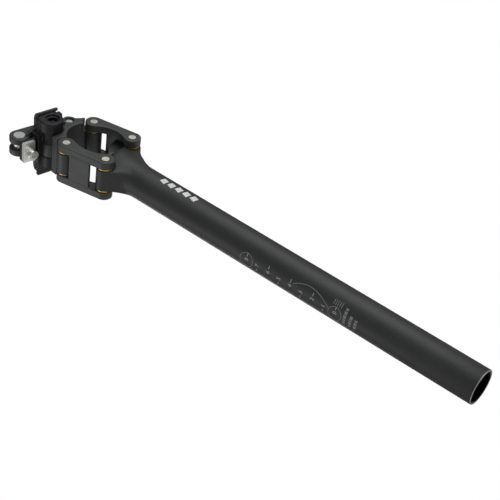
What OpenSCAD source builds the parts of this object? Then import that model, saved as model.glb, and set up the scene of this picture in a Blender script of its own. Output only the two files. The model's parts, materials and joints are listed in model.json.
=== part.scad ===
// Suspension seatpost: a 27.2 mm post tube, a parallelogram of two links, a head that stays
// level as it moves back and down, a saddle clamp, and a spring and plunger inside the tube.
// Z runs up the tube, X points forwards and Y runs across the saddle. The origin is on the
// tube's axis at its open lower end.

/* [Post] */
// Outside diameter of the post tube
post_d = 27.2; // [27.2:0.4:28]
// Wall thickness of the post tube
post_wall = 2.2; // [2:0.1:2.4]
// Height where the tube starts to flare into the forged yoke
flare_z = 312; // [310:1:314]
// Height of the yoke's open top on the tube's axis
dome_z = 341.3; // [341:0.1:342]

/* [Linkage] */
// Distance between the two pins of a link
link_len = 36.6; // [36:0.1:37]
// Backward lean of the links at rest, in degrees
link_lean = 11.3; // [10:0.1:12]
// Distance between the front and the rear pin of the post
pivot_gap = 39.45; // [39:0.05:40]
// Slope of the line through the post's two pins, in degrees
pivot_slope = 12.3; // [12:0.1:13]
// Width across a link
link_w = 35; // [34:0.5:36]
// Radius of the round bosses and barrels
boss_r = 7; // [6.8:0.1:7.2]
// Radius of the pivot axles
axle_r = 3; // [2.8:0.1:3.1]
// Full backward swing of the links, in degrees
link_swing = 60; // [50:1:60]

/* [Saddle clamp] */
// Distance between the two saddle rails
rail_gap = 44; // [43:0.5:44]
// Radius of a saddle rail
rail_r = 3.5; // [3.5:0.1:3.6]
// Downward slope of the rails towards the front, in degrees
rail_slope = 9.5; // [8:0.5:11]
// Height of the rails over the tilt axis
rail_h = 8.2; // [8.1:0.1:8.4]

/* [Spring] */
// Number of turns of the coil spring
spring_turns = 11; // [8:1:13]
// Radius of the spring wire
wire_r = 1.5; // [1.2:0.1:1.6]

/* [Hidden] */
$fn = 96;
e = 0.01;
black = "#3b3d40";
steel = "#c9ccd0";
bronze = "#c08a3e";

post_r = post_d / 2;
bore_r = post_r - post_wall;
yoke_r = post_r + 0.6;
shoulder_h = 8;
bush_run = 0.05;
barrel_w = 19;
bush_flange = 1;
bush_r = 3.75;
bush_flange_r = 6.3;
bush_len = 7;
side_gap = 0.2;
cheek_in = barrel_w / 2 + bush_flange + side_gap;
web_t = 2.4;
press_gap = 0.02;
sink_r = 4.8;
sink_t = 2.4;
screw_r = 4.6;
screw_shank_r = 1.8;

// Pivot centres in the X-Z plane
pivot_mid = [2, 338.7];
half_gap = pivot_gap / 2 * [cos(pivot_slope), sin(pivot_slope)];
lean = link_len * [-sin(link_lean), cos(link_lean)];
front_bottom = pivot_mid + half_gap;
rear_bottom = pivot_mid - half_gap;
front_top = front_bottom + lean;
rear_top = rear_bottom + lean;
tilt_axis = [-18.8, 392.3];
cross_pin = [0.6, 393.4];

// Saddle clamp, measured in the frame of the tilt axis with x along the rails
jaw_half = 11;
upper_jaw_rear = 8.3;
split = rail_h - 0.8;
bar_low = 2.5;
bar_out = 26.4;
bar_chamfer = 0.8;
seat_half = 12;
seat_low = 8.7;
seat_top = 11.2;
bridge_x = -12.5;
drum_r = 8.4;
tongue_r = 8.2;
tongue_half = 6;
fork_in = tongue_half + 0.3;
head_half = 17;
nut_x = -19.9;
nut_z = 16.6;
nut_r = 4.65;
ear_r = 8;
ear_out = 8;
bolt_r = 2.5;
bolt_head_r = 4.3;
bolt_head_h = 6.2;
bolt_hex_r = 2.3;
plate_z = 1.6;
plate_t = 3;
plate_half_x = 5.2;
plate_half_y = 8.8;
lug_z = plate_z + plate_t;
lug_top = 8.2;
tilt_r = 4.5;
flange_x = -1.5;
flange_r = 9.6;
flange_y = 27;
recess_r = 5.4;
recess_y = 24.5;
cross_pin_r = 2.6;
shell_r = 6.3;
clamp_top = 14.6;
clamp_low = 11.4;

// Spring and plunger
roller_arm = 16;
roller_r = 4.5;
roller_half = 2.1;
roller_pin_r = 1.5;
arm_half = 4.4;
roller_angle = 180 - link_swing / 2;
roller_at = front_bottom + roller_arm * [cos(roller_angle), sin(roller_angle)];
plunger_top = roller_at[1] - roller_r - 0.2;
plunger_plate = 4;
stem_r = 6;
stem_end = 288;
cap_t = 4;
spring_top = stem_end - cap_t;
spring_bottom = 174;
coil_r = 8.7;

// Places a flat X-Z outline at p and extrudes it across Y from y0 to y1
module across(p, y0, y1) {
    translate([p[0], y1, p[1]]) rotate([90, 0, 0]) linear_extrude(y1 - y0) children();
}

// The same for both sides, from y0 to y1 and from -y1 to -y0
module both_sides(p, y0, y1) {
    across(p, y0, y1) children();
    across(p, -y1, -y0) children();
}

// Cylinder along Y from y0 to y1
module rod(p, r, y0, y1) {
    translate([p[0], y1, p[1]]) rotate([90, 0, 0]) cylinder(r = r, h = y1 - y0);
}

// Frame of the saddle clamp: x along the rails, origin on the tilt axis
module clamp_frame() {
    translate([tilt_axis[0], 0, tilt_axis[1]]) rotate([0, rail_slope, 0]) children();
}

// Frame of a link: x from its lower pin to its upper pin, y outwards on side s
module link_frame(p, s) {
    translate(p) rotate(90 + link_lean) scale([1, -s]) children();
}

function bezier(a, b, c, n) = [for (i = [0:n]) let (t = i / n)
    a * (1 - t) * (1 - t) + b * 2 * t * (1 - t) + c * t * t];

// ---- links ----

// Dog-bone outline of a link: flat outside, scooped inside to a waist of depth s
module link_outline(waist) {
    k = boss_r - waist;
    c = (pow(link_len / 2, 2) - k * k) / (2 * k);
    tangent = boss_r / norm([link_len / 2, c]) * [link_len / 2, -c];
    circle(boss_r);
    translate([link_len, 0]) circle(boss_r);
    difference() {
        polygon([[0, boss_r], [link_len, boss_r], [link_len, 0],
                 [link_len - tangent[0], tangent[1]], tangent, [0, 0]]);
        translate([link_len / 2, -c]) circle(c - waist, $fn = 200);
    }
}

module link(p, s, waist, low_notch, high_notch) {
    difference() {
        union() {
            both_sides([0, 0], cheek_in, link_w / 2) link_frame(p, s) link_outline(waist);
            across([0, 0], -cheek_in - e, cheek_in + e) link_frame(p, s)
                translate([low_notch, boss_r - web_t])
                    square([link_len - low_notch - high_notch, web_t]);
        }
        for (q = [p, p + lean]) {
            rod(q, axle_r + press_gap, -link_w, link_w);
            rod(q, sink_r, link_w / 2 - sink_t, link_w);
        }
    }
}

// Arm inside the front link: runs over the post's front barrel to the roller fork
module roller_arm_outline() {
    intersection() {
        difference() {
            circle(roller_arm + 2.6);
            circle(boss_r + 1.4);
        }
        polygon([[0, 0], 30 * [cos(roller_angle), sin(roller_angle)],
                 30 * [-0.5, 1.2], 30 * [0.28, 1]]);
    }
    translate(roller_arm * [cos(roller_angle), sin(roller_angle)]) circle(3.2);
}

module front_link() {
    color(black) difference() {
        union() {
            link(front_bottom, 1, 0.9, 8, 9.4);
            across(front_bottom, -arm_half, arm_half) roller_arm_outline();
        }
        rod(roller_at, roller_r + 0.5, -roller_half - 0.3, roller_half + 0.3);
        rod(roller_at, roller_pin_r + press_gap, -5, 5);
    }
}

module rear_link() {
    color(black) link(rear_bottom, -1, 1.6, 10.3, 7.5);
}

module roller() {
    color(steel) difference() {
        rod(roller_at, roller_r, -roller_half, roller_half);
        rod(roller_at, roller_pin_r + bush_run, -3, 3);
    }
}

module roller_pin() {
    color(steel) rod(roller_at, roller_pin_r, -arm_half, arm_half);
}

// ---- pivots ----

module bush(p, s) {
    y = barrel_w / 2;
    color(bronze) mirror([0, s < 0 ? 1 : 0, 0]) difference() {
        union() {
            rod(p, bush_flange_r, y, y + bush_flange);
            rod(p, bush_r, y - bush_len, y + e);
        }
        rod(p, axle_r + bush_run, y - bush_len - 1, y + 2);
    }
}

module axle(p) {
    y0 = -link_w / 2 + 0.3;
    color(steel) difference() {
        rod(p, axle_r, y0, link_w / 2 - sink_t - 0.1);
        rod(p, screw_shank_r + press_gap, 2, link_w);
    }
}

module axle_screw(p) {
    y1 = link_w / 2 - 0.2;
    color(steel) difference() {
        union() {
            rod(p, screw_r, y1 - sink_t + 0.3, y1);
            rod(p, screw_shank_r, 6, y1 - 2);
        }
        translate([p[0], y1 + 1, p[1]]) rotate([90, 0, 0]) cylinder(r = 1.73, h = 2.5, $fn = 6);
    }
}

module barrel_bores(ps) {
    for (p = ps) rod(p, bush_r, -40, 40);
}

// ---- post ----

// Yoke outline: two curved flanks from the tube to the pivot barrels
module yoke_outline() {
    b = front_bottom;
    d = rear_bottom;
    r = boss_r;
    polygon(concat(
        bezier([post_r - 0.2, flare_z], [post_r + 1, flare_z + 17], [b[0] + r * 0.9, b[1] - r * 0.5], 10),
        [b, [b[0] - 8, b[1] + 1], [d[0] + 8, d[1] + 4], d],
        bezier([d[0] - r * 0.9, d[1] - r * 0.4], [-post_r - 0.5, flare_z + 14], [0.2 - post_r, flare_z], 10)));
    translate(b) circle(r);
    translate(d) circle(r);
}

// Space that the roller arm and the roller sweep over the full swing
module arm_slot() {
    across(front_bottom, -5, 5) intersection() {
        difference() {
            circle(roller_arm + roller_r + 1);
            circle(boss_r);
        }
        polygon([[0, 0], 40 * [cos(roller_angle + link_swing + 18), sin(roller_angle + link_swing + 18)],
                 [-60, 0], [-60, 60], [10, 60]]);
    }
}

// Tube that widens into the yoke, with its top cut along the slope of the two pins
module tube_shell() {
    difference() {
        union() {
            cylinder(r = post_r, h = flare_z);
            translate([0, 0, flare_z]) cylinder(r1 = post_r, r2 = yoke_r, h = shoulder_h);
            translate([0, 0, flare_z + shoulder_h]) cylinder(r = yoke_r, h = dome_z + 8 - flare_z - shoulder_h);
        }
        translate([0, 0, dome_z]) rotate([0, -pivot_slope, 0]) translate([-40, -40, 0]) cube([80, 80, 40]);
    }
}

module post() {
    color(black) difference() {
        union() {
            tube_shell();
            across([0, 0], -barrel_w / 2, barrel_w / 2) yoke_outline();
        }
        translate([0, 0, -1]) cylinder(r = bore_r, h = 400);
        arm_slot();
        both_sides([0, 0], barrel_w / 2, 20) {
            translate(front_bottom) circle(boss_r + 0.6);
            translate(rear_bottom) circle(boss_r + 0.6);
        }
        barrel_bores([front_bottom, rear_bottom]);
    }
}

// ---- head ----

module head_outline() {
    a = front_top;
    c = rear_top;
    polygon([a, [a[0] - 0.6, a[1] + 9], cross_pin + [5.6, -0.8], cross_pin + [1, 5.2],
             cross_pin + [-5.6, -1.6], tilt_axis + [8.4, -2.5], tilt_axis + [-1.5, -8],
             [c[0] - 2.2, c[1] + 14], [c[0] - 3, c[1] + 5], c]);
    translate(cross_pin) circle(5.8);
}

module head_pocket() {
    translate([-2, 365.6]) circle(19.3);
}

module head() {
    clear = boss_r + 1.2;
    color(black) difference() {
        union() {
            across([0, 0], -head_half, head_half) difference() {
                head_outline();
                head_pocket();
            }
            both_sides([0, 0], 0, barrel_w / 2) {
                translate(front_top) circle(boss_r);
                translate(rear_top) circle(boss_r);
            }
            across([0, 0], -tongue_half, tongue_half) difference() {
                translate(tilt_axis) {
                    circle(tongue_r);
                    polygon([[0, -tongue_r], [tongue_r, 0], [16, 0], [10, -14], [2, -12]]);
                }
                head_pocket();
            }
        }
        both_sides([0, 0], barrel_w / 2, 20) {
            translate(front_top) circle(clear + 0.8);
            translate(rear_top) circle(clear);
        }
        both_sides(tilt_axis, tongue_half, 20) circle(drum_r + 0.3);
        barrel_bores([front_top, rear_top]);
        rod(tilt_axis, tilt_r + bush_run, -20, 20);
        rod(cross_pin, cross_pin_r + press_gap, -30, 30);
        both_sides(cross_pin, head_half - 1, 20) circle(cross_pin_r + 0.5);
    }
}

module front_cross_pin() {
    color(steel) rod(cross_pin, cross_pin_r, -head_half + 1.6, head_half - 1.6);
}

// ---- saddle clamp ----

module rail_rods(r) {
    for (s = [-1, 1]) translate([-20, s * rail_gap / 2, rail_h]) rotate([0, 90, 0]) cylinder(r = r, h = 40);
}

// Cross-section of one rail bar in the Y-Z plane, from the fork to its outer side
module bar_section() {
    polygon([[fork_in, bar_low], [bar_out - bar_chamfer, bar_low], [bar_out, bar_low + bar_chamfer],
             [bar_out, split], [fork_in, split]]);
}

module lower_cradle() {
    color(black) clamp_frame() difference() {
        union() {
            for (s = [0, 1])
                mirror([0, s, 0]) translate([-jaw_half, 0, 0]) rotate([90, 0, 90])
                    linear_extrude(2 * jaw_half) bar_section();
            both_sides([0, 0], fork_in, head_half) circle(drum_r);
            across([flange_x, 0], -flange_y, -head_half - 0.3) circle(flange_r);
            translate([nut_x - plate_half_x, -plate_half_y, lug_z])
                cube([-jaw_half - nut_x + plate_half_x, 2 * plate_half_y, lug_top - lug_z]);
            translate([bridge_x, -seat_half, 1]) cube([8.5, 2 * seat_half, seat_top - 1]);
            translate([bridge_x, -seat_half, seat_low]) cube([24, 2 * seat_half, seat_top - seat_low]);
            for (y = [-seat_half, fork_in])
                translate([-jaw_half, y, split - 1]) cube([2 * jaw_half, seat_half - fork_in, 3]);
        }
        rod([0, 0], tongue_r + 0.35, -fork_in, fork_in);
        for (y = [-40, seat_half + 2]) translate([-20, y, split]) cube([40, 38 - seat_half, 20]);
        across([0, 0], -flange_y - 1, -recess_y) circle(recess_r);
        rod([0, 0], tilt_r + press_gap, -flange_y, head_half - 1.5);
        translate([nut_x, 0, 0]) cylinder(r = bolt_r + 0.3, h = 20);
        rail_rods(rail_r);
    }
}

module tilt_bolt() {
    color(steel) clamp_frame() rod([0, 0], tilt_r, -recess_y - 1.5, head_half - 2);
}

module upper_clamp() {
    low = rail_h + 0.8;
    ear_in = bolt_r + 0.2;
    color(black) clamp_frame() difference() {
        union() {
            intersection() {
                union() {
                    rail_rods(shell_r);
                    translate([-20, -rail_gap / 2, clamp_low]) cube([40, rail_gap, clamp_top - clamp_low]);
                }
                translate([-upper_jaw_rear, -40, low]) cube([upper_jaw_rear + jaw_half, 80, 20]);
            }
            translate([0, 0, clamp_low]) linear_extrude(clamp_top - clamp_low)
                polygon([[1 - upper_jaw_rear, -14], [1 - upper_jaw_rear, 14], [nut_x, ear_out], [nut_x, -ear_out]]);
            both_sides([0, 0], ear_in, ear_out) {
                translate([nut_x, nut_z]) circle(ear_r);
                polygon([[nut_x, nut_z + ear_r], [0, nut_z + ear_r - 0.6], [7, clamp_top], [7, clamp_low],
                         [-12.4, clamp_low], [nut_x + 4, nut_z - 6.9]]);
            }
        }
        rail_rods(rail_r);
        across([nut_x, nut_z], -20, 20) circle(nut_r + press_gap);
        translate([nut_x, 0, 0]) cylinder(r = ear_in, h = 40);
    }
}

module barrel_nut() {
    color(steel) clamp_frame() difference() {
        rod([nut_x, nut_z], nut_r, -ear_out, ear_out);
        translate([nut_x, 0, 0]) cylinder(r = bolt_r + press_gap, h = 40);
    }
}

module rail_bolt() {
    color(steel) clamp_frame() translate([nut_x, 0, 0]) difference() {
        union() {
            translate([0, 0, plate_z - bolt_head_h]) cylinder(r = bolt_head_r, h = bolt_head_h);
            cylinder(r = bolt_r, h = nut_z + 6);
        }
        translate([0, 0, plate_z - bolt_head_h - 1]) cylinder(r = bolt_hex_r, h = 4, $fn = 6);
    }
}

module bolt_plate() {
    color(steel) clamp_frame() difference() {
        translate([nut_x - plate_half_x, -plate_half_y, plate_z])
            cube([2 * plate_half_x, 2 * plate_half_y, plate_t]);
        translate([nut_x, 0, 0]) cylinder(r = bolt_r + 0.2, h = 20);
    }
}

// ---- spring and plunger, inside the tube ----

module plunger() {
    color(steel) {
        translate([0, 0, plunger_top - plunger_plate]) cylinder(r = bore_r - 0.3, h = plunger_plate);
        translate([0, 0, stem_end]) cylinder(r = stem_r, h = plunger_top - 1 - stem_end);
    }
}

module guide_bush() {
    color("#e8e4d8") difference() {
        translate([0, 0, 300]) cylinder(r = bore_r, h = 25.5);
        cylinder(r = stem_r + bush_run, h = 400);
    }
}

module spring_cap() {
    color(steel) {
        translate([0, 0, spring_top]) cylinder(r = bore_r - 0.4, h = cap_t);
        translate([0, 0, spring_top - 8]) cylinder(r = coil_r - wire_r - 0.5, h = 9);
    }
}

function helix(t, rise) = [coil_r * cos(360 * t), coil_r * sin(360 * t), rise * t];

module coil_spring() {
    sides = 8;
    steps = 18;
    n = spring_turns * steps;
    rise = (spring_top - spring_bottom - 2 * wire_r - 0.2) / spring_turns;
    z0 = spring_bottom + wire_r + 0.1;
    points = [for (i = [0:n], j = [0:sides - 1]) let (t = i / steps, a = 360 * j / sides)
        helix(t, rise) + [0, 0, z0]
        + wire_r * (cos(a) * [cos(360 * t), sin(360 * t), 0] + sin(a) * [0, 0, 1])];
    walls = [for (i = [0:n - 1], j = [0:sides - 1]) let (k = (j + 1) % sides)
        [i * sides + j, (i + 1) * sides + j, (i + 1) * sides + k, i * sides + k]];
    first = [for (j = [0:sides - 1]) j];
    last = [for (j = [sides - 1:-1:0]) n * sides + j];
    color(steel) polyhedron(points, concat([first], walls, [last]));
}

module spring_seat() {
    color(steel) {
        translate([0, 0, spring_bottom - 4]) cylinder(r = bore_r - 0.4, h = 4);
        translate([0, 0, spring_bottom - 1]) cylinder(r = coil_r - wire_r - 0.5, h = 9);
    }
}

module preload_plug() {
    color(steel) difference() {
        translate([0, 0, spring_bottom - 16]) cylinder(r = bore_r - 0.06, h = 12);
        translate([0, 0, spring_bottom - 17]) cylinder(r = 5.2, h = 8, $fn = 6);
    }
}

post();
front_link();
rear_link();
head();
bush(front_bottom, -1);  // front_bottom_bush_right
bush(front_bottom, 1);  // front_bottom_bush_left
bush(rear_bottom, -1);  // rear_bottom_bush_right
bush(rear_bottom, 1);  // rear_bottom_bush_left
bush(front_top, -1);  // front_top_bush_right
bush(front_top, 1);  // front_top_bush_left
bush(rear_top, -1);  // rear_top_bush_right
bush(rear_top, 1);  // rear_top_bush_left
axle(front_bottom);  // front_bottom_axle
axle(rear_bottom);  // rear_bottom_axle
axle(front_top);  // front_top_axle
axle(rear_top);  // rear_top_axle
axle_screw(front_bottom);  // front_bottom_axle_screw
axle_screw(rear_bottom);  // rear_bottom_axle_screw
axle_screw(front_top);  // front_top_axle_screw
axle_screw(rear_top);  // rear_top_axle_screw
roller();
roller_pin();
lower_cradle();
upper_clamp();
tilt_bolt();
front_cross_pin();
rail_bolt();
bolt_plate();
barrel_nut();
plunger();
guide_bush();
spring_cap();
coil_spring();
spring_seat();
preload_plug();
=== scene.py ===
import json
import math

import bpy
import numpy as np
from mathutils import Matrix, Vector


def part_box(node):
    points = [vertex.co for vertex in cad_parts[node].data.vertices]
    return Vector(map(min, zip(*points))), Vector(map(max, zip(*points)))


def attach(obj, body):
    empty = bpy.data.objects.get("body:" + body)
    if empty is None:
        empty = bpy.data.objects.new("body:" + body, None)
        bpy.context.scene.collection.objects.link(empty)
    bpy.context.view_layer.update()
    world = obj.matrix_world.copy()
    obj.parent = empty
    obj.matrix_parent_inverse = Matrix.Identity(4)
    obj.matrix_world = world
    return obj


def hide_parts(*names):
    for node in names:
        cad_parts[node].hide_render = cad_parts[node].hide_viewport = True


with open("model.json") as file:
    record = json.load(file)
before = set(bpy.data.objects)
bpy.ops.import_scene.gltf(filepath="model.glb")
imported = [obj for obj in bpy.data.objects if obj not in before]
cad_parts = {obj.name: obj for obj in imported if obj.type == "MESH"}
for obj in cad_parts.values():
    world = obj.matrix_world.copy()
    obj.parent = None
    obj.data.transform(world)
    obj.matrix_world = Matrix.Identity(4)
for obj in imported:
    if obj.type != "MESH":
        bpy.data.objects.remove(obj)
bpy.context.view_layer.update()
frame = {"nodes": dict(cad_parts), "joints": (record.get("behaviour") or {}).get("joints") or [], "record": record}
nodes = frame["nodes"]

# ---------------------------------------------------------------- places, in mm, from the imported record

MM = 0.001
JOINTS = {j["name"]: j for j in frame["joints"]}
MOUNTS = {m["name"]: m for m in frame["record"]["mounts"]}


def joint_at(name):
    """Place of a hinge in the X-Z plane, in mm."""
    x, _, z = JOINTS[name]["pos_m"]
    return np.array([x, z]) / MM


def span(node, axis):
    """Lowest and highest coordinate of a CAD node along one axis, in mm."""
    low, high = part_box(node)
    return low[axis] / MM, high[axis] / MM


def middle(node):
    """Centre of a CAD node in the X-Z plane, in mm."""
    return np.array([sum(span(node, 0)) / 2, sum(span(node, 2)) / 2])


FRONT_BOTTOM = joint_at("front_link")
REAR_BOTTOM = joint_at("rear_link")
FRONT_TOP = joint_at("head")
LEAN = FRONT_TOP - FRONT_BOTTOM
LINK_LEN = float(np.hypot(*LEAN))
REAR_TOP = REAR_BOTTOM + LEAN
TILT = joint_at("saddle_tilt")
ROLLER = joint_at("roller")
CROSS_PIN = middle("front_cross_pin")
PIVOT_LINE = FRONT_BOTTOM - REAR_BOTTOM
PIVOT_SLOPE = math.atan2(PIVOT_LINE[1], PIVOT_LINE[0])
RAIL_AXIS = MOUNTS["rail_left"]["axis"]
RAIL_SLOPE = math.atan2(-RAIL_AXIS[2], RAIL_AXIS[0])
RAIL_Y = MOUNTS["rail_left"]["pos_m"][1] / MM
RAIL_R = MOUNTS["rail_left"]["dims"]["r_mm"]
POST_R = MOUNTS["seat_tube"]["dims"]["r_mm"]
LINK_HALF = span("front_link", 1)[1]
HEAD_HALF = span("head", 1)[1]

# ---------------------------------------------------------------- sizes of the formed parts, in mm

# Grid step of the formed parts, and a length that is outside the object
STEP = 0.4
FAR = 60.0

# Pivots: bosses, barrels between the bushes, bores and the sinks round the axles
BOSS_R = 7.0
BARREL_HALF = 9.5
CHEEK_IN = 10.7
BUSH_R = 3.75
AXLE_R = 3.02
AXLE_SINK_R = 4.8
AXLE_SINK_DEEP = 2.4

# Free space left round a boss: by the yoke and the arm at the bottom, by the head at the top
YOKE_GAP = 0.6
ARM_GAP = 1.4
HEAD_FRONT_GAP = 2.0
HEAD_REAR_GAP = 1.2

# Post: bore, flare of the yoke above the tube, its rounded top and the slot for the roller arm
BORE_R = 11.4
YOKE_LOW = 300.0
FLARE_Z = 308.0
FLARE_GROWTH = 0.6
FLARE_LEN = 18.0
FILLET_LOW = 0.5
FILLET_GROWTH = 8.0
FILLET_LEN = 22.0
DOME_Z = 341.3
DOME_ROUND = 7.0
SLOT_HALF = 5.0
SLOT_R = 21.5
SLOT_END = 228.0

# Links: web between the cheeks, and the arm that carries the roller
WEB = 2.4
ARM_R = 18.6
ARM_HALF = 4.4
ARM_TIP_R = 3.2
ARM_START = 150.0
ROLLER_SPACE_R = 5.0
ROLLER_SPACE_HALF = 2.4
ROLLER_PIN_R = 1.52

# Head: round pocket, cross pin and the tongue that the saddle clamp tilts on
POCKET = (-2.0, 365.6)
POCKET_R = 19.3
CROSS_BOSS_R = 5.8
CROSS_PIN_R = 2.62
CROSS_SINK_R = 3.7
CROSS_SINK_DEEP = 1.8
TONGUE_R = 8.3
TONGUE_HALF = 6.2
TONGUE_BORE_R = 4.55

# Saddle clamp, along (u) and square to (w) the rails from the tilt axis
JAW = 11.0
UPPER_JAW_REAR = 8.3
UPPER_JAW_CORNER = 3.0
RAIL_H = 8.2
JAW_SPLIT = RAIL_H - 0.8
SHELL_R = 6.3
BAR_LOW = 2.5
BAR_OUT = 26.4
FORK_IN = 6.3
DRUM_R = 8.4
FLANGE_R = 9.6
FLANGE_U = -1.5
FLANGE_Y = -27.0
SEAT_LOW = 8.7
SEAT_TOP = 11.2
SEAT_HALF = 12.0
PLATE_LOW = 11.4
PLATE_TOP = 14.6
NUT = (-19.9, 16.6)
EAR_R = 8.0
EAR_IN = 2.7
EAR_OUT = 8.0
NUT_R = 4.67
LUG_SCREW_R = 2.8
EAR_SCREW_R = 2.7

# Tilt bolt in its blind bore, with a counterbore in front of it
BOLT_R = 4.5
BOLT_END = -21.5
BOLT_BORE_END = 15.5
BOLT_STEPS = ((3.5, 0.8), (2.7, 1.6), (1.8, 2.4))
RECESS_R = 5.4
RECESS_Y = -25.2
RECESS_NECK_R = 3.9

# Plunger
STEM_R = 6.0
CAP_DEEP = 4.0

# ---------------------------------------------------------------- solid modelling by signed distance


def circle(x, z, centre, radius):
    return np.hypot(x - centre[0], z - centre[1]) - radius


def box2(x, z, low, high):
    dx = np.abs(x - (low[0] + high[0]) / 2) - (high[0] - low[0]) / 2
    dz = np.abs(z - (low[1] + high[1]) / 2) - (high[1] - low[1]) / 2
    return np.hypot(np.maximum(dx, 0), np.maximum(dz, 0)) + np.minimum(np.maximum(dx, dz), 0)


def polygon(x, z, points):
    """Signed distance to a closed outline."""
    best = None
    inside = np.zeros(np.broadcast(x, z).shape, bool)
    for (ax, az), (bx, bz) in zip(points, points[1:] + points[:1]):
        ex, ez = bx - ax, bz - az
        t = np.clip(((x - ax) * ex + (z - az) * ez) / (ex * ex + ez * ez), 0, 1)
        near = np.hypot(x - ax - ex * t, z - az - ez * t)
        best = near if best is None else np.minimum(best, near)
        if ez:
            crosses = ((az > z) != (bz > z)) & (x < ax + ex * (z - az) / ez)
            inside ^= crosses
    return np.where(inside, -best, best)


def slab(flat, y, low, high, edge):
    """A flat outline extruded across the object from low to high, with rounded edges."""
    a = flat + edge
    b = np.abs(y - (low + high) / 2) - (high - low) / 2 + edge
    return np.hypot(np.maximum(a, 0), np.maximum(b, 0)) + np.minimum(np.maximum(a, b), 0) - edge


def both(flat, y, low, high, edge):
    """The same slab on both sides of the middle plane."""
    return slab(flat, np.abs(y), low, high, edge)


def merge(a, b, fillet=0.0):
    """Union of two solids, with a fillet where they meet."""
    if np.ndim(fillet) == 0 and not fillet:
        return np.minimum(a, b)
    h = np.maximum(fillet - np.abs(a - b), 0) / fillet
    return np.minimum(a, b) - h * h * fillet / 4


def cut(a, b, soft=0.0):
    """Solid a without solid b, with the new edge eased."""
    return -merge(-a, b, soft)


def pair(x, z, first, second, radius):
    """Two equal circles."""
    return merge(circle(x, z, first, radius), circle(x, z, second, radius))


def surface_net(values, origin, step):
    """Quads through the zero level of a field that is sampled on a grid."""
    inside = values < 0
    cells = tuple(n - 1 for n in values.shape)
    total = np.zeros(cells + (3,), np.float32)
    count = np.zeros(cells, np.float32)
    index = np.indices(values.shape, dtype=np.float32)
    crossings = []
    for axis in range(3):
        first = tuple(slice(None, -1) if k == axis else slice(None) for k in range(3))
        second = tuple(slice(1, None) if k == axis else slice(None) for k in range(3))
        crosses = inside[first] != inside[second]
        crossings.append((crosses, inside[first]))
        gap = np.where(crosses, values[first] - values[second], 1)
        along = np.where(crosses, values[first] / gap, 0)
        others = [k for k in range(3) if k != axis]
        for du in (0, 1):
            for dv in (0, 1):
                pick = [slice(None)] * 3
                pick[others[0]] = slice(du, du + cells[others[0]])
                pick[others[1]] = slice(dv, dv + cells[others[1]])
                pick = tuple(pick)
                hit = crosses[pick]
                count += hit
                for k in range(3):
                    place = index[(k,) + first][pick]
                    if k == axis:
                        place = place + along[pick]
                    total[..., k] += np.where(hit, place, 0)
    used = count > 0
    number = np.full(cells, -1, np.int64)
    number[used] = np.arange(used.sum())
    points = total[used] / count[used][:, None] * step + np.array(origin)
    quads = []
    for axis in range(3):
        crosses, starts_inside = crossings[axis]
        b, c = [(1, 2), (2, 0), (0, 1)][axis]
        pick = [slice(None)] * 3
        pick[b] = slice(1, cells[b])
        pick[c] = slice(1, cells[c])
        where = np.argwhere(crosses[tuple(pick)])
        where[:, b] += 1
        where[:, c] += 1
        corners = []
        for db, dc in ((-1, -1), (0, -1), (0, 0), (-1, 0)):
            at = where.copy()
            at[:, b] += db
            at[:, c] += dc
            corners.append(number[at[:, 0], at[:, 1], at[:, 2]])
        quad = np.stack(corners, 1)
        flip = ~starts_inside[where[:, 0], where[:, 1], where[:, 2]]
        quad[flip] = quad[flip][:, ::-1]
        quads.append(quad)
    return points, np.concatenate(quads)


def solid(field, low, high, step):
    """Points, in mm, and quads of the solid where field(x, y, z) is below zero."""
    axes = [np.arange(low[k] - 2 * step, high[k] + 3 * step, step) for k in range(3)]
    x, y, z = np.meshgrid(*axes, indexing="ij", sparse=True)
    values = np.broadcast_to(field(x, y, z), [len(a) for a in axes]).astype(np.float32)
    return surface_net(values, [a[0] for a in axes], step)


def revolve(profile, turns):
    """Closed profile of (radius, height) points turned about the Z axis."""
    points, faces = [], []
    n = len(profile)
    for i in range(turns):
        a = 2 * math.pi * i / turns
        points += [(r * math.cos(a), r * math.sin(a), h) for r, h in profile]
    for i in range(turns):
        j = (i + 1) % turns
        for k in range(n):
            m = (k + 1) % n
            faces.append((i * n + k, j * n + k, j * n + m, i * n + m))
    return points, faces


def make_object(name, parts, body, material, sharp=None):
    """One mesh object, in metres, from (points, faces) pairs in mm."""
    points, faces = [], []
    for part_points, part_faces in parts:
        start = sum(len(p) for p in points)
        points.append(np.asarray(part_points, float))
        faces += [[start + int(i) for i in f] for f in part_faces]
    mesh = bpy.data.meshes.new(name)
    mesh.from_pydata((np.concatenate(points) * MM).tolist(), [], faces)
    mesh.validate()
    for p in mesh.polygons:
        p.use_smooth = True
    if sharp:
        mesh.set_sharp_from_angle(angle=math.radians(sharp))
    obj = bpy.data.objects.new(name, mesh)
    bpy.context.scene.collection.objects.link(obj)
    mesh.materials.append(material)
    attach(obj, body)
    return obj


# ---------------------------------------------------------------- materials


def new_material(name, color, metallic, roughness):
    m = bpy.data.materials.new(name)
    m.use_nodes = True
    shader = m.node_tree.nodes["Principled BSDF"]
    shader.inputs["Base Color"].default_value = (*color, 1)
    shader.inputs["Metallic"].default_value = metallic
    shader.inputs["Roughness"].default_value = roughness
    return m, m.node_tree.nodes, m.node_tree.links, shader


def add_noise(ns, links, scale, detail):
    """Noise in the object's own coordinates, which are metres."""
    place = ns.new("ShaderNodeTexCoord")
    noise = ns.new("ShaderNodeTexNoise")
    noise.inputs["Scale"].default_value = scale
    noise.inputs["Detail"].default_value = detail
    links.new(place.outputs["Object"], noise.inputs["Vector"])
    return noise.outputs["Fac"]


NOISE_LOW, NOISE_HIGH = 0.3, 0.7


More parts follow.
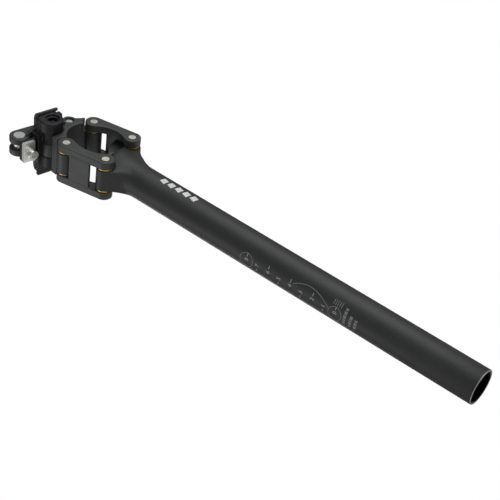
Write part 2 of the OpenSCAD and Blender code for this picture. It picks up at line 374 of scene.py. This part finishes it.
def add_roughness(ns, links, shader, value, low, high):
    """Roughness that follows a noise value from low to high."""
    spread = ns.new("ShaderNodeMapRange")
    spread.inputs["From Min"].default_value = NOISE_LOW
    spread.inputs["From Max"].default_value = NOISE_HIGH
    spread.inputs["To Min"].default_value = low
    spread.inputs["To Max"].default_value = high
    links.new(value, spread.inputs["Value"])
    links.new(spread.outputs["Result"], shader.inputs["Roughness"])


def add_color(ns, links, shader, value, color, low, high):
    """Base colour that follows a noise value, between two multiples of a colour."""
    ramp = ns.new("ShaderNodeValToRGB")
    for stop, position, factor in zip(ramp.color_ramp.elements, (NOISE_LOW, NOISE_HIGH), (low, high)):
        stop.position = position
        stop.color = (*[min(1.0, c * factor) for c in color], 1)
    links.new(value, ramp.inputs["Fac"])
    links.new(ramp.outputs["Color"], shader.inputs["Base Color"])


def add_bump(ns, links, shader, value, depth_mm, strength):
    bump = ns.new("ShaderNodeBump")
    bump.inputs["Distance"].default_value = depth_mm * MM
    bump.inputs["Strength"].default_value = strength
    links.new(value, bump.inputs["Height"])
    links.new(bump.outputs["Normal"], shader.inputs["Normal"])


def anodised(name, color, roughness, specular=0.55):
    """Bead-blasted aluminium with a dark satin anodised skin."""
    m, ns, links, shader = new_material(name, color, 0.0, roughness)
    shader.inputs["Specular IOR Level"].default_value = specular
    cloud = add_noise(ns, links, scale=55, detail=4)
    grain = add_noise(ns, links, scale=2600, detail=2)
    add_color(ns, links, shader, cloud, color, low=0.86, high=1.16)
    add_roughness(ns, links, shader, grain, roughness - 0.05, roughness + 0.06)
    add_bump(ns, links, shader, grain, depth_mm=0.02, strength=0.35)
    return m


def turned(name, color, roughness):
    """Bright metal with fine tool marks."""
    m, ns, links, shader = new_material(name, color, 1.0, roughness)
    marks = add_noise(ns, links, scale=900, detail=3)
    cloud = add_noise(ns, links, scale=120, detail=2)
    add_color(ns, links, shader, cloud, color, low=0.9, high=1.05)
    add_roughness(ns, links, shader, marks, roughness - 0.08, roughness + 0.1)
    add_bump(ns, links, shader, marks, depth_mm=0.01, strength=0.3)
    return m


def plastic(name, color, roughness):
    """Matt moulded plastic or printing ink."""
    m, ns, links, shader = new_material(name, color, 0.0, roughness)
    cloud = add_noise(ns, links, scale=300, detail=3)
    add_color(ns, links, shader, cloud, color, low=0.92, high=1.06)
    add_roughness(ns, links, shader, cloud, roughness - 0.05, roughness + 0.05)
    add_bump(ns, links, shader, cloud, depth_mm=0.02, strength=0.2)
    return m


TUBE_BLACK = anodised("tube_black", (0.020, 0.021, 0.021), 0.54, 0.5)
LINK_BLACK = anodised("link_black", (0.036, 0.038, 0.038), 0.46, 0.5)
CRADLE_BLACK = anodised("cradle_black", (0.008, 0.008, 0.011), 0.46, 0.35)
STEEL = turned("steel", (0.84, 0.85, 0.82), 0.34)
PIN_STEEL = turned("pin_steel", (0.74, 0.73, 0.65), 0.38)
SPRING = turned("spring_steel", (0.30, 0.31, 0.33), 0.35)
BRONZE = turned("bronze", (0.80, 0.52, 0.18), 0.36)
GUIDE = plastic("guide_plastic", (0.72, 0.69, 0.62), 0.5)
PRINT = plastic("printed_grey", (0.42, 0.43, 0.43), 0.55)
PRINT_FAINT = plastic("printed_faint_grey", (0.20, 0.205, 0.205), 0.55)
PRINT_WHITE = plastic("printed_white", (0.70, 0.71, 0.70), 0.5)
BARE = turned("bare_aluminium", (0.62, 0.62, 0.60), 0.35)
BLACK_OXIDE = anodised("black_oxide", (0.018, 0.019, 0.020), 0.40)
# Near-black tone for the tilt bolt's end in its recess: painted shade of the recess, darker than the bolt's own
# black oxide
RECESS_PAINTED_SHADE = anodised("recess_painted_shade", (0.003, 0.003, 0.004), 0.4, 0.2)

# ---------------------------------------------------------------- CAD nodes: materials and broken edges

NODE_LOOKS = {
    "post": TUBE_BLACK, "front_link": LINK_BLACK, "rear_link": LINK_BLACK, "head": LINK_BLACK,
    "lower_cradle": CRADLE_BLACK, "upper_clamp": LINK_BLACK,
    "coil_spring": SPRING, "guide_bush": GUIDE,
    "plunger": BLACK_OXIDE, "roller": BLACK_OXIDE, "roller_pin": BLACK_OXIDE, "tilt_bolt": BLACK_OXIDE,
}
EDGE_MM = 0.2
EDGE_ANGLE = 40
WELD_MM = 0.01


def node_look(name):
    if name in NODE_LOOKS:
        return NODE_LOOKS[name]
    if "bush" in name:
        return BRONZE
    return PIN_STEEL if "axle" in name else STEEL


for name, node in nodes.items():
    node.data.materials.clear()
    node.data.materials.append(node_look(name))
    if name not in ("post", "coil_spring"):
        weld = node.modifiers.new("weld", "WELD")
        weld.merge_threshold = WELD_MM * MM
        bevel = node.modifiers.new("bevel", "BEVEL")
        bevel.width = EDGE_MM * MM
        bevel.segments = 2
        bevel.angle_limit = math.radians(EDGE_ANGLE)

# ---------------------------------------------------------------- outlines


def ease(t):
    """Smooth step from 0 to 1."""
    t = np.clip(t, 0, 1)
    return t * t * (3 - 2 * t)


def turn(a):
    """Unit vector at a degrees in the X-Z plane."""
    return np.array([math.cos(math.radians(a)), math.sin(math.radians(a))])


def flank_outline():
    """Side view of the yoke, from the tube's two flanks out to the lower pivots."""
    b, d = FRONT_BOTTOM, REAR_BOTTOM
    front = [(9.0, 306), (9.9, 313), (12.2, 319.8), (16.8, 327.6), (21.7, 333.4), (25.4, 337.2)]
    rear = [(-21.3, 328.8), (-18.4, 324.8), (-15.0, 321.2), (-11.8, 316.8), (-9.9, 312), (-9.0, 306)]
    return front + [tuple(b), (b[0] - 8, b[1] + 1), (d[0] + 8, d[1] + 4), tuple(d)] + rear


def slot_outline():
    """Wedge that the roller arm sweeps, seen from the front bottom pivot."""
    b = FRONT_BOTTOM
    reach = 40
    rear, top = b[0] - FAR, b[1] + FAR
    return [tuple(b), tuple(b + reach * turn(SLOT_END)), (rear, b[1]), (rear, top), (b[0] + 10, top)]


def arm_outline():
    """Wedge that the roller arm fills, from the roller's side round to the inside of the web."""
    b = FRONT_BOTTOM
    along = LEAN / LINK_LEN
    outward = np.array([along[1], -along[0]])
    reach = 30
    corners = (turn(ARM_START), np.array([-0.5, 1.2]), 0.95 * along + 0.3 * outward)
    return [tuple(b)] + [tuple(b + reach * q) for q in corners]


def head_outline():
    """Side view of the head, from the front pivot over the cross pin to the tilt axis and down."""
    a, c, p, t = FRONT_TOP, REAR_TOP, CROSS_PIN, TILT
    return [tuple(a), (a[0] - 0.6, a[1] + 9), (p[0] + 5.6, p[1] - 0.8), (p[0] + 1, p[1] + 5.2),
            (p[0] - 5.6, p[1] - 1.6), (t[0] + 8.4, t[1] - 2.5), (t[0] - 1.5, t[1] - 8),
            (c[0] - 2.2, c[1] + 14), (c[0] - 3, c[1] + 5), tuple(c)]


def tongue_outline():
    """Side view of the root that joins the tongue to the head."""
    t = TILT
    return [(t[0], t[1] - 8.2), (t[0] + 8.2, t[1]), (t[0] + 16, t[1]), (t[0] + 10, t[1] - 14),
            (t[0] + 2, t[1] - 12)]


def rib_outline():
    """Side view of an ear of the upper clamp, in the clamp's own coordinates."""
    return [(NUT[0], NUT[1] + EAR_R), (0, NUT[1] + 7.4), (7, PLATE_TOP), (7, PLATE_LOW),
            (-12.4, PLATE_LOW), (NUT[0] + 4, NUT[1] - 6.9)]


# ---------------------------------------------------------------- forged and machined parts


def yoke_field(x, y, z):
    """Flared top of the post: flanks, lower barrels, bore and the slot for the roller arm."""
    flare = z - FLARE_Z
    radius = POST_R + FLARE_GROWTH * ease(flare / FLARE_LEN)
    flank_fillet = FILLET_LOW + FILLET_GROWTH * ease(flare / FILLET_LEN)
    over_top = (z - DOME_Z) * math.cos(PIVOT_SLOPE) - x * math.sin(PIVOT_SLOPE)
    body = cut(np.hypot(x, y) - radius, -over_top, DOME_ROUND)
    flanks = slab(polygon(x, z, flank_outline()), y, -BARREL_HALF, BARREL_HALF, edge=2.4)
    body = merge(body, flanks, flank_fillet)
    bosses = pair(x, z, FRONT_BOTTOM, REAR_BOTTOM, BOSS_R)
    body = merge(body, slab(bosses, y, -BARREL_HALF, BARREL_HALF, edge=0.5), fillet=2)
    cheek_space = pair(x, z, FRONT_BOTTOM, REAR_BOTTOM, BOSS_R + YOKE_GAP)
    body = cut(body, both(cheek_space, y, BARREL_HALF, FAR, edge=0.1), soft=0.6)
    body = cut(body, np.hypot(x, y) - BORE_R, soft=1)
    sweep = np.maximum(circle(x, z, FRONT_BOTTOM, SLOT_R), polygon(x, z, slot_outline()))
    sweep = cut(sweep, circle(x, z, FRONT_BOTTOM, BOSS_R))
    body = cut(body, slab(sweep, y, -SLOT_HALF, SLOT_HALF, edge=0.3), soft=0.6)
    return cut(body, pair(x, z, FRONT_BOTTOM, REAR_BOTTOM, BUSH_R))


def link_field(pin, side, waist, low_notch, high_notch):
    """Two waisted cheeks and the web between them, with the web on the given side of the pins."""
    along = LEAN / LINK_LEN
    outward = side * np.array([along[1], -along[0]])
    depth = BOSS_R - waist
    drop = ((LINK_LEN / 2) ** 2 - depth ** 2) / (2 * depth)
    foot = BOSS_R * drop / math.hypot(LINK_LEN / 2, drop)
    low_pin, high_pin = (0, 0), (LINK_LEN, 0)

    def field(x, y, z):
        u = (x - pin[0]) * along[0] + (z - pin[1]) * along[1]
        v = (x - pin[0]) * outward[0] + (z - pin[1]) * outward[1]
        waisted = np.maximum(box2(u, v, (0, -foot), (LINK_LEN, BOSS_R)),
                             -circle(u, v, (LINK_LEN / 2, -drop), drop - waist))
        cheek = merge(pair(u, v, low_pin, high_pin, BOSS_R), waisted)
        body = both(cheek, y, CHEEK_IN, LINK_HALF, edge=0.7)
        web = box2(u, v, (low_notch, BOSS_R - WEB), (LINK_LEN - high_notch, BOSS_R))
        body = merge(body, slab(web, y, -CHEEK_IN - 1, CHEEK_IN + 1, edge=0.25), fillet=0.9)
        body = cut(body, pair(u, v, low_pin, high_pin, AXLE_R), soft=0.3)
        sinks = pair(u, v, low_pin, high_pin, AXLE_SINK_R)
        return cut(body, slab(sinks, y, LINK_HALF - AXLE_SINK_DEEP, FAR, edge=0.1), soft=0.3)

    return field


def front_link_field(x, y, z):
    """Front link with its forked roller arm."""
    body = link_field(FRONT_BOTTOM, side=1, waist=0.9, low_notch=8, high_notch=9.4)(x, y, z)
    ring = cut(circle(x, z, FRONT_BOTTOM, ARM_R), circle(x, z, FRONT_BOTTOM, BOSS_R + ARM_GAP))
    arm = np.maximum(ring, polygon(x, z, arm_outline()))
    arm = merge(arm, circle(x, z, ROLLER, ARM_TIP_R), fillet=1)
    body = merge(body, slab(arm, y, -ARM_HALF, ARM_HALF, edge=0.5), fillet=0.8)
    space = circle(x, z, ROLLER, ROLLER_SPACE_R)
    body = cut(body, slab(space, y, -ROLLER_SPACE_HALF, ROLLER_SPACE_HALF, edge=0.1))
    return cut(body, circle(x, z, ROLLER, ROLLER_PIN_R))


def head_field(x, y, z):
    """Head with its round pocket, upper barrels, cross pin bore and tilt tongue."""
    pocket = circle(x, z, POCKET, POCKET_R)
    flat = merge(polygon(x, z, head_outline()), circle(x, z, CROSS_PIN, CROSS_BOSS_R), fillet=1.5)
    body = slab(cut(flat, pocket), y, -HEAD_HALF, HEAD_HALF, edge=0.8)
    barrels = pair(x, z, FRONT_TOP, REAR_TOP, BOSS_R)
    body = merge(body, slab(barrels, y, -BARREL_HALF, BARREL_HALF, edge=0.5), fillet=1.2)
    tongue = cut(merge(circle(x, z, TILT, TONGUE_R), polygon(x, z, tongue_outline())), pocket)
    body = merge(body, slab(tongue, y, -TONGUE_HALF, TONGUE_HALF, edge=0.15), fillet=0.8)
    front_space = circle(x, z, FRONT_TOP, BOSS_R + HEAD_FRONT_GAP)
    rear_space = circle(x, z, REAR_TOP, BOSS_R + HEAD_REAR_GAP)
    body = cut(body, both(merge(front_space, rear_space), y, BARREL_HALF, FAR, edge=0.1), soft=0.5)
    drum_space = circle(x, z, TILT, DRUM_R + 0.3)
    body = cut(body, both(drum_space, y, FORK_IN - 0.3, FAR, edge=0.1), soft=0.5)
    pins = pair(x, z, FRONT_TOP, REAR_TOP, BUSH_R)
    body = cut(body, merge(pins, circle(x, z, TILT, TONGUE_BORE_R)))
    body = cut(body, circle(x, z, CROSS_PIN, CROSS_PIN_R))
    sink = circle(x, z, CROSS_PIN, CROSS_SINK_R)
    return cut(body, both(sink, y, HEAD_HALF - CROSS_SINK_DEEP, FAR, edge=0.1), soft=0.4)


def clamp_frame(x, z):
    """Coordinates along the rails and square to them, from the tilt axis."""
    c, s = math.cos(RAIL_SLOPE), math.sin(RAIL_SLOPE)
    return (x - TILT[0]) * c - (z - TILT[1]) * s, (x - TILT[0]) * s + (z - TILT[1]) * c


def rail_field(y, w, radius):
    """Round bar along both rails."""
    return np.hypot(np.abs(y) - RAIL_Y, w - RAIL_H) - radius


def cradle_field(x, y, z):
    """Lower jaw: a grooved bar on two drums that sit on either side of the head's tongue."""
    u, w = clamp_frame(x, z)
    r = np.hypot(u, w)
    bar = both(box2(u, w, (-JAW, BAR_LOW), (JAW, JAW_SPLIT)), y, FORK_IN, BAR_OUT, edge=0.8)
    drum = both(r - DRUM_R, y, FORK_IN, HEAD_HALF, edge=0.15)
    flange = slab(circle(u, w, (FLANGE_U, 0), FLANGE_R), y, FLANGE_Y, -HEAD_HALF - 0.3, edge=0.9)
    jaw = merge(merge(bar, drum, fillet=2), flange, fillet=1.5)
    lug = slab(box2(u, w, (NUT[0] - 5.2, 4.6), (-JAW + 2, RAIL_H)), y, -8.8, 8.8, edge=0.5)
    bridge = slab(box2(u, w, (-12.5, 1), (-4, SEAT_TOP)), y, -SEAT_HALF, SEAT_HALF, edge=0.6)
    seat = slab(box2(u, w, (-12.5, SEAT_LOW), (11.5, SEAT_TOP)), y, -SEAT_HALF, SEAT_HALF, edge=0.6)
    fill = both(box2(u, w, (-JAW, 6.2), (JAW, 9.6)), y, FORK_IN, SEAT_HALF, edge=0.5)
    middle_part = merge(merge(lug, bridge, fillet=1.5), merge(seat, fill, fillet=0.6), fillet=0.6)
    body = merge(jaw, middle_part, fillet=0.8)
    above = both(box2(u, w, (-FAR, JAW_SPLIT), (FAR, FAR)), y, SEAT_HALF + 2, FAR, edge=0.1)
    body = cut(body, above, soft=0.4)
    left_lip = slab(box2(u, w, (-FAR, 5.6), (FAR, FAR)), y, RAIL_Y, FAR, edge=0.1)
    body = cut(body, left_lip, soft=0.6)
    body = cut(body, slab(r - DRUM_R - 0.1, y, -FORK_IN, FORK_IN, edge=0.1), soft=0.2)
    body = cut(body, slab(r - RECESS_R, y, -FAR, RECESS_Y, edge=0.1), soft=0.5)
    body = cut(body, slab(r - RECESS_NECK_R, y, -FAR, 0, edge=0.1), soft=0.3)
    body = cut(body, slab(r - BOLT_R, y, BOLT_END, BOLT_BORE_END, edge=0.1))
    body = cut(body, np.hypot(u - NUT[0], y) - LUG_SCREW_R, soft=0.3)
    return cut(body, rail_field(y, w, RAIL_R), soft=0.4)


def clamp_field(x, y, z):
    """Upper jaw: two rail shells on a plate, and two ears for the barrel nut."""
    u, w = clamp_frame(x, z)
    plate = slab(box2(u, w, (-FAR, PLATE_LOW), (FAR, PLATE_TOP)), y, -RAIL_Y, RAIL_Y, edge=0.4)
    wings = merge(rail_field(y, w, SHELL_R), plate, fillet=1)
    ends = box2(u, w, (-UPPER_JAW_REAR, RAIL_H + 0.8), (JAW, FAR))
    wings = cut(wings, -ends, soft=0.9)
    past_rear = np.maximum(UPPER_JAW_CORNER - UPPER_JAW_REAR - u, 0)
    past_side = np.maximum(np.abs(y) - RAIL_Y - SHELL_R + UPPER_JAW_CORNER, 0)
    wings = np.maximum(wings, np.hypot(past_rear, past_side) - UPPER_JAW_CORNER)
    neck_end = 1 - UPPER_JAW_REAR
    taper = [(neck_end, -14), (neck_end, 14), (NUT[0], 8), (NUT[0], -8)]
    thick = np.abs(w - (PLATE_TOP + PLATE_LOW) / 2) - (PLATE_TOP - PLATE_LOW) / 2
    neck = np.maximum(polygon(u, y + 0 * u, taper), thick)
    ears = both(merge(circle(u, w, NUT, EAR_R), polygon(u, w, rib_outline())), y, EAR_IN, EAR_OUT, edge=0.7)
    body = merge(merge(wings, neck, fillet=1.2), ears, fillet=1.2)
    body = cut(body, rail_field(y, w, RAIL_R), soft=0.4)
    body = cut(body, circle(u, w, NUT, NUT_R), soft=0.4)
    return cut(body, np.hypot(u - NUT[0], y) - EAR_SCREW_R)


def plunger_field(x, y, z):
    """Round-edged cap on a plain stem."""
    r = np.hypot(x, y)
    low, high = span("plunger", 2)
    cap = slab(r - span("plunger", 0)[1], z, high - CAP_DEEP, high, edge=1.9)
    return merge(cap, slab(r - STEM_R, z, low, high - CAP_DEEP / 2, edge=0.3), fillet=0.8)


def bolt_field(x, y, z):
    """Plain shank of the tilt bolt, with a stepped end inside the recess."""
    u, w = clamp_frame(x, z)
    r = np.hypot(u, w)
    body = slab(r - BOLT_R, y, BOLT_END, span("tilt_bolt", 1)[1], edge=0.3)
    for radius, height in BOLT_STEPS:
        body = merge(body, slab(r - radius, y, BOLT_END - height, BOLT_END + 1, edge=0.2))
    return body


def space_of(node):
    """Corners, in mm, of a box 1 mm outside a CAD node."""
    low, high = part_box(node)
    return [v / MM - 1 for v in low], [v / MM + 1 for v in high]


def formed(node, field, body, look, step=STEP):
    """Builds a CAD node again with eased edges and fillets."""
    obj = make_object(node + "_formed", [solid(field, *space_of(node), step)], body, look)
    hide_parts(node)


rear_link_field = link_field(REAR_BOTTOM, side=-1, waist=1.6, low_notch=10.3, high_notch=7.5)
formed("front_link", front_link_field, "front_link_body", LINK_BLACK)
formed("rear_link", rear_link_field, "rear_link_body", LINK_BLACK)
formed("head", head_field, "head_body", LINK_BLACK)
formed("lower_cradle", cradle_field, "saddle_clamp", CRADLE_BLACK)
formed("upper_clamp", clamp_field, "saddle_clamp", LINK_BLACK)
formed("plunger", plunger_field, "plunger_body", BLACK_OXIDE)
# The tilt bolt takes the near-black painted shade of the recess instead of its black oxide
formed("tilt_bolt", bolt_field, "saddle_clamp", RECESS_PAINTED_SHADE, STEP / 2)

# Post: one turned tube that reaches up inside the formed yoke, with bare metal on its cut lower end
SKIN_R = POST_R - 0.01
TUBE_TOP = YOKE_LOW + 3
END_CHAMFER = 0.5
tube_profile = [
    (BORE_R + 0.25, 0), (POST_R - 0.45, 0), (POST_R - 0.12, 0.12), (SKIN_R, END_CHAMFER),
    (SKIN_R, 80), (SKIN_R, 160), (SKIN_R, 240), (SKIN_R, TUBE_TOP),
    (BORE_R, TUBE_TOP), (BORE_R, 150), (BORE_R, END_CHAMFER),
]
post_low, post_high = space_of("post")
yoke = solid(yoke_field, [*post_low[:2], YOKE_LOW + 2], post_high, STEP)
tube = revolve(tube_profile, turns=160)
post = make_object("post_formed", [tube, yoke], "post_body", TUBE_BLACK, sharp=50)
post.data.materials.append(BARE)
for face in post.data.polygons:
    if face.center.z < 0.4 * MM:
        face.material_index = 1
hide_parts("post")

# ---------------------------------------------------------------- printed scale and marks on the tube

# Angles round the tube of the scale and of the row of blocks, and the radii of the thin print
SCALE_ANGLE = 183.0
BLOCK_ANGLE = 269.0
PRINT_LOW = POST_R - 0.15
PRINT_HIGH = POST_R + 0.03
FIGURE_HIGH = PRINT_HIGH + 0.06
SHARP = 40


def on_tube(s, z, radius, angle=SCALE_ANGLE):
    """Point on the tube: s mm around it from the given angle, towards -Y, and z mm up."""
    a = math.radians(angle) + s / POST_R
    return radius * math.cos(a), radius * math.sin(a), z


def ribbon(path, width, angle=SCALE_ANGLE, closed=False):
    """Closed thin solid that follows a path of (s, z) points on the tube."""
    path = [np.array(q, float) for q in path]
    fine = []
    for a, b in zip(path, path[1:] + (path[:1] if closed else [])):
        n = max(1, round(abs(b[0] - a[0]) / 0.8))
        fine += [a + (b - a) * k / n for k in range(n)]
    if not closed:
        fine.append(path[-1])
    n = len(fine)
    points, faces = [], []
    for k in range(n):
        ahead = fine[(k + 1) % n] if closed or k < n - 1 else fine[k]
        behind = fine[k - 1] if closed or k else fine[k]
        t = (ahead - behind) / np.hypot(*(ahead - behind))
        side_step = np.array([-t[1], t[0]]) * width / 2
        near, far = fine[k] + side_step, fine[k] - side_step
        corners = ((near, PRINT_HIGH), (far, PRINT_HIGH), (far, PRINT_LOW), (near, PRINT_LOW))
        points += [on_tube(q[0], q[1], r, angle) for q, r in corners]
    for k in range(n if closed else n - 1):
        m = (k + 1) % n
        for c in range(4):
            d = (c + 1) % 4
            faces.append((4 * k + c, 4 * k + d, 4 * m + d, 4 * m + c))
    if not closed:
        faces += [(3, 2, 1, 0), (4 * n - 4, 4 * n - 3, 4 * n - 2, 4 * n - 1)]
    return points, faces


def dash(start, end, level, width):
    """Straight ribbon around the tube at one height."""
    return ribbon([(start, level), (end, level)], width)


def ring_path(s, z, radius, n=40):
    angles = [2 * math.pi * k / n for k in range(n)]
    return [(s + radius * math.sin(a), z + radius * math.cos(a)) for a in angles]


def curve(a, b, c, n):
    """Points along a quadratic curve from a to c."""
    a, b, c = np.array(a), np.array(b), np.array(c)
    return [tuple(a * (1 - t) ** 2 + b * 2 * t * (1 - t) + c * t * t) for t in np.linspace(0, 1, n)]


def digit(text, s, z, size):
    """One extruded figure bent onto the tube, centred on (s, z)."""
    letter = bpy.data.curves.new("figure_" + text, "FONT")
    letter.body = text
    letter.size = size
    letter.extrude = 1.0
    letter.resolution_u = 4
    holder = bpy.data.objects.new("figure_" + text, letter)
    mesh = bpy.data.meshes.new_from_object(holder)
    co = np.array([v.co[:] for v in mesh.vertices])
    mid = (co.min(0) + co.max(0)) / 2
    radii = np.where(co[:, 2] > 0, FIGURE_HIGH, PRINT_LOW)
    points = [on_tube(s + q[0] - mid[0], z + q[1] - mid[1], r) for q, r in zip(co, radii)]
    faces = [tuple(f.vertices) for f in mesh.polygons]
    bpy.data.objects.remove(holder)
    bpy.data.curves.remove(letter)
    bpy.data.meshes.remove(mesh)
    return points, faces


def printed(name, parts, look):
    make_object(name, parts, "post_body", look, SHARP)


# Height scale: figures 8 to 0 with ticks on alternate sides
SCALE_TOP = 193.0
SCALE_STEP = 10.05
SCALE_COUNT = 9
SCALE_MIDDLE = SCALE_TOP - 4 * SCALE_STEP
SCALE_LOW = SCALE_TOP - 8 * SCALE_STEP
FIGURE_SIZE = 4.6
TICK_A = (2.6, 5.2)
TICK_B = (-2.9, -5.0)
LINE = 0.5
marks = []
for k in range(SCALE_COUNT):
    level = SCALE_TOP - SCALE_STEP * k
    marks.append(digit(str(SCALE_COUNT - 1 - k), 0.2, level, FIGURE_SIZE))
    marks.append(dash(*(TICK_B if k % 2 else TICK_A), level, LINE))
printed("scale_figures", marks, PRINT)

# Rings round the end figures, an arc from the middle figure to the lowest, and a hatch beside it
RING_LINE = 0.45
HATCH_STEP = 1.7
arc = curve((3.0, SCALE_MIDDLE - 2.4), (13.6, SCALE_LOW + 24), (1.2, SCALE_LOW + 5.8), 26)
lines = [
    ribbon(ring_path(-0.6, SCALE_TOP, 5.8), RING_LINE, closed=True),
    ribbon(ring_path(-0.8, SCALE_LOW, 5.6), RING_LINE, closed=True),
    ribbon(arc, LINE),
]
lines += [dash(5.9, 10.2, SCALE_LOW + 3.2 - HATCH_STEP * k, LINE) for k in range(5)]
printed("scale_lines", lines, PRINT_FAINT)

# Three rows of plain dashes below the scale: height, start, and the length of each dash
DASH_ROWS = (
    (104.3, -4.6, (2.2, 1.4, 2.8, 2.4, 1.8)),
    (99.2, -4.2, (1.5, 2.0, 0.9, 2.8)),
    (95.0, -3.6, (2.4, 2.2, 1.7)),
)
DASH_GAP = 0.6
DASH_WIDTH = 2.3
dashes = []
for level, start, runs in DASH_ROWS:
    for run in runs:
        dashes.append(dash(start, start + run, level, DASH_WIDTH))
        start += run + DASH_GAP
printed("marking_lines", dashes, PRINT_FAINT)

# Row of plain slanted blocks below the yoke
BLOCK_TOP = 287.8
BLOCK_STEP = 7.6
BLOCK_LEN = 5.2
blocks = []
for k in range(5):
    level = BLOCK_TOP - BLOCK_STEP * k
    blocks.append(ribbon([(-2.4, level + 0.7), (2.4, level - 0.7)], BLOCK_LEN, BLOCK_ANGLE))
printed("marking_blocks", blocks, PRINT_WHITE)

# ---------------------------------------------------------------- camera

EYE = Vector((-0.5657, -0.5155, -0.1728))
LOOK = Vector((0.66356, 0.60698, 0.43734))
UP = Vector((0.41027, -0.78408, 0.46572))
LENS = 82.58
SENSOR = 36

camera_data = bpy.data.cameras.new("camera")
camera_data.lens = LENS
camera_data.sensor_width = SENSOR
camera = bpy.data.objects.new("camera", camera_data)
bpy.context.scene.collection.objects.link(camera)
back = -LOOK.normalized()
right = UP.cross(back).normalized()
above = back.cross(right)
camera.matrix_world = Matrix((
    (right.x, above.x, back.x, EYE.x),
    (right.y, above.y, back.y, EYE.y),
    (right.z, above.z, back.z, EYE.z),
    (0, 0, 0, 1),
))
bpy.context.scene.camera = camera

# ---------------------------------------------------------------- studio light and floor

LIT_POINT = Vector((0, 0, 0.25))
AMBIENT = 0.18
FLOOR_HALF = 6.0
FLOOR_Z = -0.0005


def area_light(name, direction, distance, size, power):
    """Soft rectangular light that faces the post from one direction."""
    data = bpy.data.lights.new(name, "AREA")
    data.shape = "RECTANGLE"
    data.size, data.size_y = size
    data.energy = power
    obj = bpy.data.objects.new(name, data)
    bpy.context.scene.collection.objects.link(obj)
    d = Vector(direction).normalized()
    obj.location = LIT_POINT + d * distance
    obj.rotation_mode = "QUATERNION"
    obj.rotation_quaternion = d.to_track_quat("Z", "Y")


area_light("key", above * 1.0 + back * 0.35 + right * 0.1, distance=1.3, size=(1.2, 0.9), power=10.5)
area_light("fill", back * 1.0 - above * 0.2 - right * 0.5, distance=1.6, size=(1.4, 1.4), power=1.3)
area_light("side", (-0.75, 0.5, 0.43), distance=1.5, size=(1.0, 1.0), power=5)
area_light("rear", (0.5, 0.8, 0.7), distance=1.5, size=(1.2, 1.2), power=10)

# White behind the object, and a dimmer white for the light that falls on it
world = bpy.data.worlds.new("studio")
bpy.context.scene.world = world
world.use_nodes = True
world_nodes, world_links = world.node_tree.nodes, world.node_tree.links
background = world_nodes["Background"]
background.inputs["Color"].default_value = (1, 1, 1, 1)
ray = world_nodes.new("ShaderNodeLightPath")
strength = world_nodes.new("ShaderNodeMapRange")
strength.inputs["To Min"].default_value = AMBIENT
strength.inputs["To Max"].default_value = 1.0
world_links.new(ray.outputs["Is Camera Ray"], strength.inputs["Value"])
world_links.new(strength.outputs["Result"], background.inputs["Strength"])

# Pale floor that is clear from below, because the camera looks up from under it
floor_look, ns, links, shader = new_material("floor_pale", (0.86, 0.86, 0.85), 0.0, 0.6)
seen_side = ns.new("ShaderNodeNewGeometry")
clear = ns.new("ShaderNodeBsdfTransparent")
mix = ns.new("ShaderNodeMixShader")
links.new(seen_side.outputs["Backfacing"], mix.inputs["Fac"])
links.new(shader.outputs["BSDF"], mix.inputs[1])
links.new(clear.outputs["BSDF"], mix.inputs[2])
links.new(mix.outputs["Shader"], ns["Material Output"].inputs["Surface"])

floor_corners = [(x * FLOOR_HALF, y * FLOOR_HALF, FLOOR_Z) for x, y in ((-1, -1), (1, -1), (1, 1), (-1, 1))]
floor_mesh = bpy.data.meshes.new("floor")
floor_mesh.from_pydata(floor_corners, [], [(0, 1, 2, 3)])
floor_mesh.materials.append(floor_look)
floor = bpy.data.objects.new("floor", floor_mesh)
bpy.context.scene.collection.objects.link(floor)

bpy.context.scene.view_settings.view_transform = "Standard"
